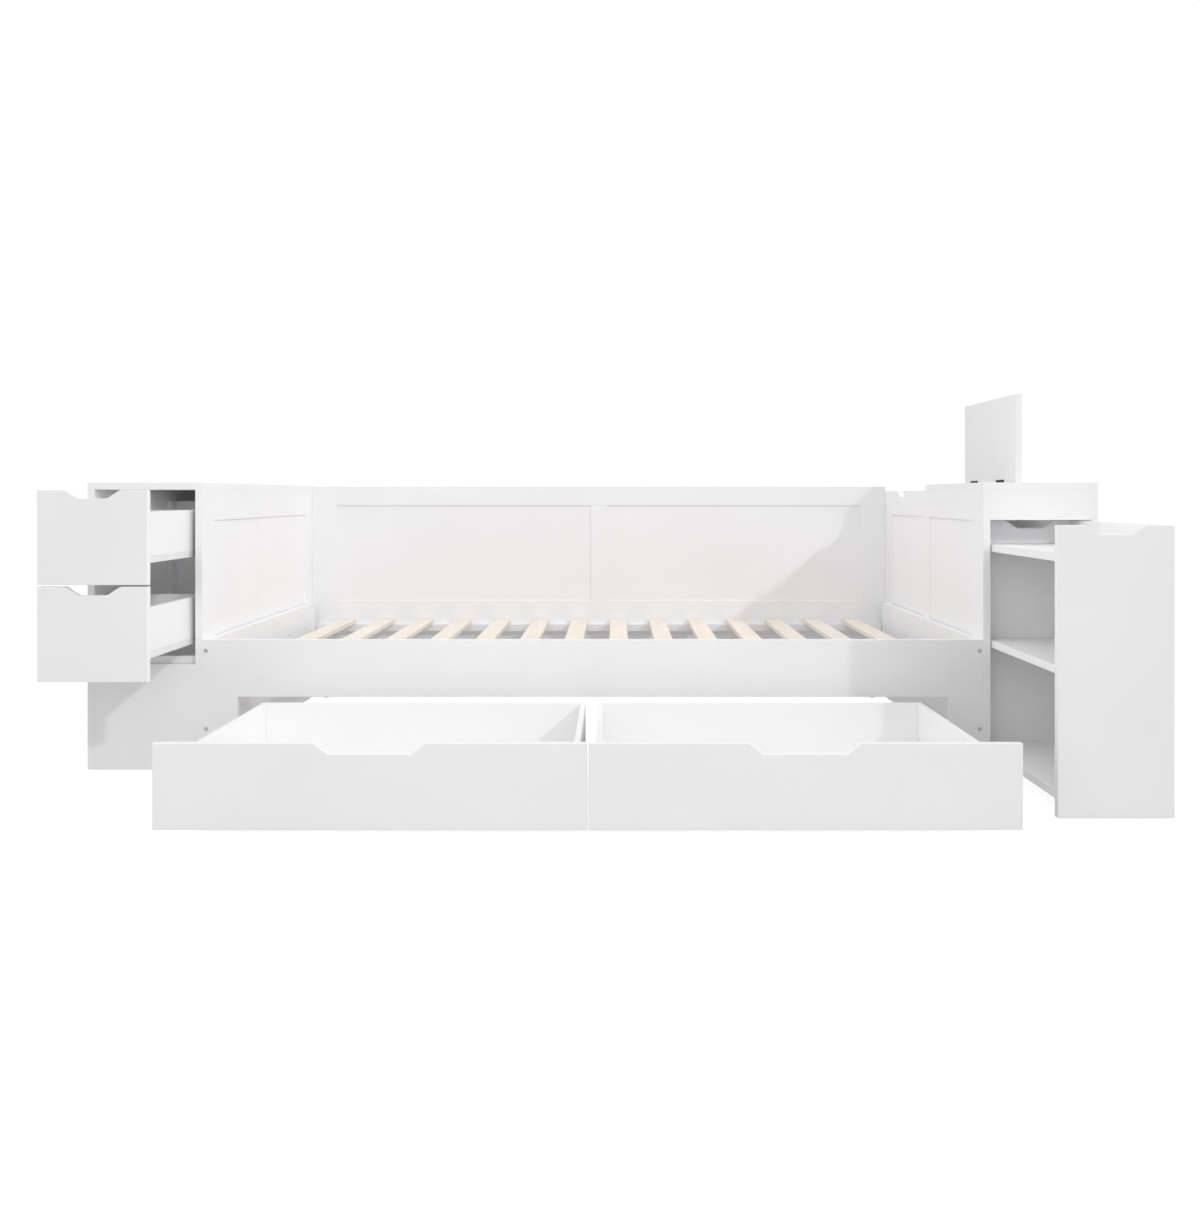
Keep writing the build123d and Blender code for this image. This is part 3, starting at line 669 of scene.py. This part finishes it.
def pick_edges(piece, test):
    """Selects the edges whose two end points pass the test, and opens edit mode on them."""
    mesh = piece.data
    clear_picks(mesh)
    for edge in mesh.edges:
        edge.select = bool(test(*(mesh.vertices[i].co for i in edge.vertices)))
    bpy.ops.object.mode_set(mode="EDIT")
    bpy.ops.mesh.select_mode(type="EDGE")


print("faces count as facing an axis within", round(math.degrees(math.acos(FACING))), "degrees")

# %% [markdown]
# The floor is a wide plain sheet that glows a little, like a light table. It lifts the
# undersides and keeps contact shadows almost invisible, as in a cut-out studio picture. Its
# rim is turned down and its edges are rounded, so that it's a real slab even when seen
# from the side.

# %% Floor
FLOOR_SIZE = 60.0
FLOOR_THICKNESS = 0.05
FLOOR_GLOW = 0.18  # what the floor shines on the furniture
FLOOR_WHITE = 0.85  # what the camera sees of the glow
FLOOR_DRIFT_MM = 900

deselect()
bpy.ops.mesh.primitive_plane_add(size=FLOOR_SIZE, location=(0, 0, 0))
floor = bpy.context.object
floor.name = "studio_floor"
pick_faces(floor, lambda face: True)
bpy.ops.mesh.extrude_region_move(TRANSFORM_OT_translate={"value": (0, 0, -FLOOR_THICKNESS)})
bpy.ops.mesh.select_all(action="SELECT")
bpy.ops.mesh.normals_make_consistent(inside=False)
bpy.ops.mesh.bevel(offset=FLOOR_THICKNESS / 4, segments=2)
deselect()

floor_paint, tree, place = start_finish("white_light_table")
looked_at = add_node(tree, "ShaderNodeLightPath", output="Is Camera Ray")
glow = {"Value": looked_at, "To Min": FLOOR_GLOW, "To Max": FLOOR_WHITE}
table = {
    "Base Color": drifting_tone(tree, place, FLOOR_DRIFT_MM, 2.0, "A6A6A6", "A2A2A2"),
    "Roughness": 0.9,
    "Specular IOR Level": 0.0,
    "Emission Color": "FFFFFF",
    "Emission Strength": add_node(tree, "ShaderNodeMapRange", glow),
}
end_finish(tree, table)
floor.data.materials.append(floor_paint)
print("floor", FLOOR_SIZE, "m wide, glow", FLOOR_GLOW)

# %% [markdown]
# The platform is held by two kinds of fastener, which share one node of the frame. The four
# leg bolts point forwards, and the side-board screws point sideways, so the longest side of
# each solid's box tells which is which.

# %% Sort the bolts from the screws
X, Y, Z = 0, 1, 2
screws = solids_of("frame_screws")
leg_bolts = [box for box in screws if (box[1] - box[0]).argmax() == Y]
side_screws = [box for box in screws if (box[1] - box[0]).argmax() == X]
print(len(leg_bolts), "leg bolts and", len(side_screws), "side screws")

# %% [markdown]
# Every screw on the bed starts in the same way, as a turned head with a stub of shank. The
# head is a short cylinder that stands along Z with its top at Z 0, and its upper rim is
# rounded. A countersunk head is made by narrowing the lower face. Insetting the lower
# face to the shank's width and pushing it down gives the shank.

# %% Model a head with its shank
HEAD_SIDES = 32
TIP_SHARE = 0.55  # width of a countersunk head's lower face, against its top
RIM_SHARE = 1 / 6  # rounding of the rim, against the head's depth


def shade(piece, degrees=35):
    """Smooth shading that keeps edges sharper than the angle."""
    activate(piece)
    bpy.ops.object.shade_smooth_by_angle(angle=math.radians(degrees))


def screw_blank(head_radius, head_depth, shank_radius, length, countersunk):
    """A turned head with its top at Z 0 and a shank below it, ready for its recess."""
    deselect()
    bpy.ops.mesh.primitive_cylinder_add(
        vertices=HEAD_SIDES, radius=head_radius, depth=head_depth, location=(0, 0, -head_depth / 2)
    )
    blank = bpy.context.object
    bpy.ops.object.transform_apply(location=True, rotation=True, scale=True)
    tip = TIP_SHARE if countersunk else 1.0
    if countersunk:
        pick_faces(blank, lambda face: face.normal.z < -FACING)
        bpy.ops.transform.resize(value=(tip, tip, 1), center_override=(0, 0, 0))
    pick_edges(blank, lambda a, b: abs(a.z) < TOUCHING and abs(b.z) < TOUCHING)
    bpy.ops.mesh.bevel(offset=head_depth * RIM_SHARE, segments=3)
    pick_faces(blank, lambda face: face.normal.z < -FACING)
    bpy.ops.mesh.inset(thickness=head_radius * tip - shank_radius)
    bpy.ops.mesh.extrude_region_move(TRANSFORM_OT_translate={"value": (0, 0, head_depth - length)})
    deselect()
    return blank


print("a head has", HEAD_SIDES, "sides")

# %% [markdown]
# A recess is where a driver fits, so it has the driver's shape. The leg bolts are flat-head
# furniture bolts, driven with a hex key. Insetting the top and pushing the new face down would
# give a round socket, so the six-sided one is cut by a six-sided prism instead.

# %% Model one leg bolt
LEG_BOLT = {
    "head_radius": 5.4 * MM,
    "head_depth": 2.9 * MM,
    "shank_radius": 2.9 * MM,
    "length": 12 * MM,
}
KEY_SIZE = 4.0 * MM  # across the flats
SOCKET_SHARE = 0.7  # depth of the socket, against the head's depth


def cut(piece, cutter):
    """Cuts the cutter's shape out of the piece and throws the cutter away."""
    activate(piece)
    difference = piece.modifiers.new("cut", "BOOLEAN")
    difference.operation = "DIFFERENCE"
    difference.solver = "EXACT"
    difference.object = cutter
    bpy.ops.object.modifier_apply(modifier=difference.name)
    bpy.data.objects.remove(cutter)


def hex_socket(across_flats, depth):
    """A six-sided cutter that reaches depth below Z 0."""
    deselect()
    bpy.ops.mesh.primitive_cylinder_add(
        vertices=6, radius=across_flats / math.sqrt(3), depth=2 * depth, location=(0, 0, 0)
    )
    return bpy.context.object


bolt = screw_blank(**LEG_BOLT, countersunk=False)
cut(bolt, hex_socket(KEY_SIZE, SOCKET_SHARE * LEG_BOLT["head_depth"]))
shade(bolt)
print("bolt head has", len(bolt.data.polygons), "faces")

# %% [markdown]
# The side screws have countersunk heads and a cross recess. The recess is two thin wedges
# that cross. Each starts as a cube the width of the blade and is then narrowed at its tip.
# Other sizes of screw get the same recess in proportion to their heads.

# %% Model one side screw
SIDE_SCREW = {
    "head_radius": 4.4 * MM,
    "head_depth": 2.8 * MM,
    "shank_radius": 2.0 * MM,
    "length": 8 * MM,
}
CROSS_LENGTH = 5.0 * MM
CROSS_WIDTH = 1.1 * MM
CROSS_DEPTH = 1.8 * MM
BLADE_TIP = 0.35  # size of the wedge's lower face, against its upper


def cross_blade(size, turn):
    """One wedge of the cross recess, centred on Z 0, scaled by size and turned about Z."""
    deselect()
    bpy.ops.mesh.primitive_cube_add(size=1, location=(0, 0, 0))
    blade = bpy.context.object
    blade.scale = (size * CROSS_LENGTH, size * CROSS_WIDTH, size * 2 * CROSS_DEPTH)
    blade.rotation_euler = (0, 0, turn)
    bpy.ops.object.transform_apply(location=True, rotation=True, scale=True)
    pick_faces(blade, lambda face: face.normal.z < -FACING)
    bpy.ops.transform.resize(value=(BLADE_TIP, BLADE_TIP, 1), center_override=(0, 0, 0))
    deselect()
    return blade


def cross_screw(sizes, countersunk=True):
    """A cross-recessed screw, head up, top at Z 0."""
    screw = screw_blank(**sizes, countersunk=countersunk)
    for turn in (0, math.radians(90)):
        cut(screw, cross_blade(sizes["head_radius"] / SIDE_SCREW["head_radius"], turn))
    shade(screw)
    return screw


side_screw = cross_screw(SIDE_SCREW)
print("side screw has", len(side_screw.data.polygons), "faces")

# %% [markdown]
# Modelled once, a fitting is then copied to each place. Every copy has its own mesh,
# turned so that its head faces out, and the copies that ride on one body become one piece.
# The screws are turned by different amounts, because nobody lines up cross recesses.

# %% Copy and join fittings
TWIST = math.radians(137.5)  # from one screw to the next, so that no two look alike


def place_copies(master, places, name, body, slot, twist=TWIST):
    """Copies the master to each (point, outward direction) and joins the copies as one piece."""
    copies = []
    for number, (point, outward) in enumerate(places):
        copy = master.copy()
        copy.data = master.data.copy()
        bpy.context.scene.collection.objects.link(copy)
        copy.rotation_mode = "QUATERNION"
        turn = Vector(outward).to_track_quat("Z", "Y")
        copy.rotation_quaternion = turn @ Quaternion((0, 0, 1), twist * number)
        copy.location = point
        copies.append(copy)
    deselect()
    for copy in copies:
        copy.select_set(True)
    bpy.context.view_layer.objects.active = copies[0]
    bpy.ops.object.join()
    piece = copies[0]
    bpy.ops.object.transform_apply(location=True, rotation=True, scale=True)
    deselect()
    piece.name = name
    piece.data.name = name
    dress(piece, slot)
    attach(piece, body)
    print(name, "has", len(places), "copies on", body)
    return piece


def on_face(box, axis, side, proud=0.0):
    """A point over the middle of a box's face, and the way that the face looks."""
    point = (box[0] + box[1]) / 2
    point[axis] = (box[1] if side > 0 else box[0])[axis] + side * proud
    outward = [0, 0, 0]
    outward[axis] = side
    return tuple(point), tuple(outward)


print("each screw is turned", round(math.degrees(TWIST), 1), "degrees from the last")

# %% [markdown]
# The heads go over the ends of the frame's own fasteners. Each stands a hair proud of its
# board, so that its rim catches the light.

# %% Place the bolts and the side screws
PROUD = 0.15 * MM
bolt_places = [on_face(box, Y, -1, PROUD) for box in leg_bolts]
leg_bolt_heads = place_copies(bolt, bolt_places, "hex_socket_leg_bolts", "bed_frame", "zinc")
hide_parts("frame_screws")
screw_places = [on_face(box, X, -1 if box[0][X] > 0 else 1, PROUD) for box in side_screws]
side_board_screws = place_copies(
    side_screw, screw_places, "cross_head_side_screws", "bed_frame", "zinc"
)
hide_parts("frame_screws")
print("heads stand", round(PROUD / MM, 2), "mm proud")

# %% [markdown]
# A castor wheel is moulded in one shot: a tyre, a thin web with ribs, and a hub with a bore
# for the axle. It grows out of one cylinder. The caps are inset step by step, each step
# sunk or raised, and then every gap between two ribs is sunk a little further. Two bisects
# mark out the tread, which is pulled in to make the groove round its middle. The bore is
# bridged through at the end. A wheel needs ribs, or nobody would see it turn.

# %% Model one wheel
WHEEL_SIDES = 48
RIBS = 6
RIB_SIDES = WHEEL_SIDES // RIBS  # of which one is the rib and the others its pocket
TYRE = 3.2 * MM
TYRE_ROUNDING = 1.8 * MM
STEP_WALL = 0.6 * MM
WEB_DEPTH = 2.6 * MM
POCKET_DEPTH = 1.2 * MM
POCKET_SLOPE = 0.35 * MM
HUB_RADIUS = 5.2 * MM
AXLE_BORE = 2.6 * MM
GROOVE_HALF = 1.6 * MM  # half the groove's width
GROOVE_DEPTH = 0.7 * MM
GROOVE_SLOPE = 0.3 * MM
FLAT = 0.999  # a cap's normal lies this close to the axle


def turned_tyre(radius, width):
    """A cylinder on the X axis, with a groove round its tread and rounded shoulders."""
    deselect()
    bpy.ops.mesh.primitive_cylinder_add(
        vertices=WHEEL_SIDES, radius=radius, depth=width, rotation=(0, math.radians(90), 0)
    )
    wheel = bpy.context.object
    bpy.ops.object.transform_apply(location=True, rotation=True, scale=True)
    for x in (-GROOVE_HALF, GROOVE_HALF):
        bpy.ops.object.mode_set(mode="EDIT")
        bpy.ops.mesh.select_all(action="SELECT")
        bpy.ops.mesh.bisect(plane_co=(x, 0, 0), plane_no=(1, 0, 0))
        bpy.ops.object.mode_set(mode="OBJECT")
    pick_faces(wheel, lambda f: abs(f.normal.x) < 0.5 and abs(f.center.x) < GROOVE_HALF)
    bpy.ops.mesh.inset(thickness=GROOVE_SLOPE, depth=-GROOVE_DEPTH)
    end = width / 2 - TOUCHING
    pick_edges(wheel, lambda a, b: min(abs(a.x), abs(b.x)) > end and a.x * b.x > 0)
    bpy.ops.mesh.bevel(offset=TYRE_ROUNDING, segments=4)
    return wheel


def model_wheel(radius, width):
    """A ribbed wheel on the X axis, centred on the origin."""
    wheel = turned_tyre(radius, width)
    pick_faces(wheel, lambda f: abs(f.normal.x) > FLAT and f.area > radius * radius)
    web = radius - TYRE - STEP_WALL - HUB_RADIUS
    bpy.ops.mesh.inset(thickness=TYRE - TYRE_ROUNDING)
    bpy.ops.mesh.inset(thickness=STEP_WALL, depth=-WEB_DEPTH)
    bpy.ops.mesh.inset(thickness=web)
    bpy.ops.mesh.inset(thickness=STEP_WALL, depth=WEB_DEPTH - STEP_WALL)
    bpy.ops.mesh.inset(thickness=HUB_RADIUS - STEP_WALL - AXLE_BORE)
    bpy.ops.mesh.bridge_edge_loops()

    def in_pocket(face):
        """Whether a face is on the web, between two ribs."""
        away = math.hypot(face.center.y, face.center.z)
        turn = math.atan2(face.center.z, face.center.y) / math.tau * WHEEL_SIDES
        on_web = abs(away - HUB_RADIUS - web / 2) < web / 3
        return on_web and abs(face.normal.x) > FLAT and math.floor(turn) % RIB_SIDES != 0

    pick_faces(wheel, in_pocket)
    bpy.ops.mesh.inset(thickness=POCKET_SLOPE, depth=-POCKET_DEPTH)
    bpy.ops.mesh.select_all(action="SELECT")
    bpy.ops.mesh.normals_make_consistent(inside=False)
    shade(wheel, 30)
    return wheel


wheel_nodes = [name for name in slots if slots[name] == "grey_plastic"]
low, high = solids_of(wheel_nodes[0])[0]
wheel = model_wheel((high - low)[Z] / 2, (high - low)[X])
print("wheel has", len(wheel.data.polygons), "faces")

# %% [markdown]
# The frame's wheels are plain discs on axles, two to a body. The ribbed ones take their
# places, and ride on the same bodies, so they turn as the drawers roll.

# %% Put the wheels on
bodies = frame["record"]["behaviour"]["bodies"]
body_of_node = {node: body for body, members in bodies.items() for node in members}
UP = (0, 0, 1)
for node_name in wheel_nodes:
    hubs = [(tuple((low + high) / 2), UP) for low, high in solids_of(node_name)]
    pair = place_copies(
        wheel, hubs, f"{node_name}_ribbed", body_of_node[node_name], "grey_plastic", twist=0
    )
    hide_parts(node_name)
print("wheels on", len(wheel_nodes), "axle lines")

# %% [markdown]
# Hinges and slides are screwed on, and those screws are what the eye looks for on bare
# steel. Hinge screws sit flush in the leaves, three to a leaf, and are black like
# the leaves.

# %% Screws in the hinges
HINGE_SCREW = {
    "head_radius": 2.6 * MM,
    "head_depth": 1.0 * MM,
    "shank_radius": 1.2 * MM,
    "length": 3 * MM,
}
LEAF_STEEL = 1.5 * MM
LEAF_PROUD = 0.05 * MM
LEAST_LEAF = 10 * MM  # a lower solid in a hinge node is a pin
SCREW_HEIGHT = 0.62  # from the barrels to the screws, as a share of the leaf
SCREW_SPREAD = 0.33  # from the middle screw to the outer ones, as a share of the leaf
INWARD = (-1, 0, 0)


def leaf_screws(node_name, above_pin):
    """Three places on each leaf's face, on the plate beyond the barrels."""
    places = []
    for low, high in solids_of(node_name):
        size = high - low
        if size[Z] < LEAST_LEAF:
            continue
        rise = SCREW_HEIGHT * size[Z]
        z = low[Z] + rise if above_pin else high[Z] - rise
        for share in (-SCREW_SPREAD, 0, SCREW_SPREAD):
            y = (low[Y] + high[Y]) / 2 + share * size[Y]
            places.append(((high[X] - LEAF_STEEL - LEAF_PROUD, y, z), INWARD))
    return places


hinge_screw = cross_screw(HINGE_SCREW)
upper = leaf_screws("lid_hinge_leaves", above_pin=True)
lower = leaf_screws("cabinet_hinge_leaves", above_pin=False)
place_copies(hinge_screw, upper, "lid_hinge_screws", "lid", "black_steel")
place_copies(hinge_screw, lower, "cabinet_hinge_screws", "bed_frame", "black_steel")
print(len(upper) + len(lower), "hinge screws")

# %% [markdown]
# The slides take pan-head screws, which stand proud of the white profile. A drawer's profile
# is screwed up into the box through its foot, and a cabinet's channel is screwed sideways
# into the cabinet wall. Both are long, so their boxes are easy to tell from the rollers'.

# %% Screws in the drawer slides
PAN_SCREW = {
    "head_radius": 3.2 * MM,
    "head_depth": 1.6 * MM,
    "shank_radius": 1.4 * MM,
    "length": 4 * MM,
}
SLIDE_STEEL = 1.2 * MM
PROFILE_LENGTH = 300 * MM  # anything longer in a slide node is a rolled profile
SCREW_SHARES = (0.15, 0.45, 0.8)  # along the profile, from its front
DOWN = (0, 0, -1)


def profiles(node_name):
    """The boxes of the rolled profiles in a slide node, without rollers and stubs."""
    return [box for box in solids_of(node_name) if (box[1] - box[0])[Y] > PROFILE_LENGTH]


def along(low, high):
    """Where the screws go along a profile."""
    return [low[Y] + share * (high[Y] - low[Y]) for share in SCREW_SHARES]


def foot_screws(node_name):
    """Places under the drawer's profiles, up through the foot into the box wall."""
    places = []
    for low, high in profiles(node_name):
        x = (low[X] + high[X]) / 2
        z = high[Z] - SLIDE_STEEL - PAN_SCREW["head_depth"]
        places += [((x, y, z), DOWN) for y in along(low, high)]
    return places


def wall_screws(node_name):
    """Places on the inner face of the cabinet's channels, into the cabinet walls."""
    boxes = profiles(node_name)
    centre = np.mean([(low[X] + high[X]) / 2 for low, high in boxes])
    places = []
    for low, high in boxes:
        inward = -1 if (low[X] + high[X]) / 2 > centre else 1
        wall = high[X] if inward < 0 else low[X]
        x = wall + inward * (SLIDE_STEEL + PAN_SCREW["head_depth"])
        z = (low[Z] + high[Z]) / 2
        places += [((x, y, z), (inward, 0, 0)) for y in along(low, high)]
    return places


pan_screw = cross_screw(PAN_SCREW, countersunk=False)
for drawer in ("upper_drawer", "lower_drawer"):
    places = foot_screws(f"{drawer}_slides")
    place_copies(pan_screw, places, f"{drawer}_slide_screws", drawer, "zinc")
places = wall_screws("cabinet_slide_channels")
place_copies(pan_screw, places, "cabinet_channel_screws", "bed_frame", "zinc")
print("pan heads stand", round(PAN_SCREW["head_depth"] / MM, 1), "mm off the steel")

# %% [markdown]
# The first models were only patterns to copy from, so they leave the scene.

# %% Clear the patterns
for pattern in (bolt, side_screw, wheel, hinge_screw, pan_screw):
    bpy.data.objects.remove(pattern)
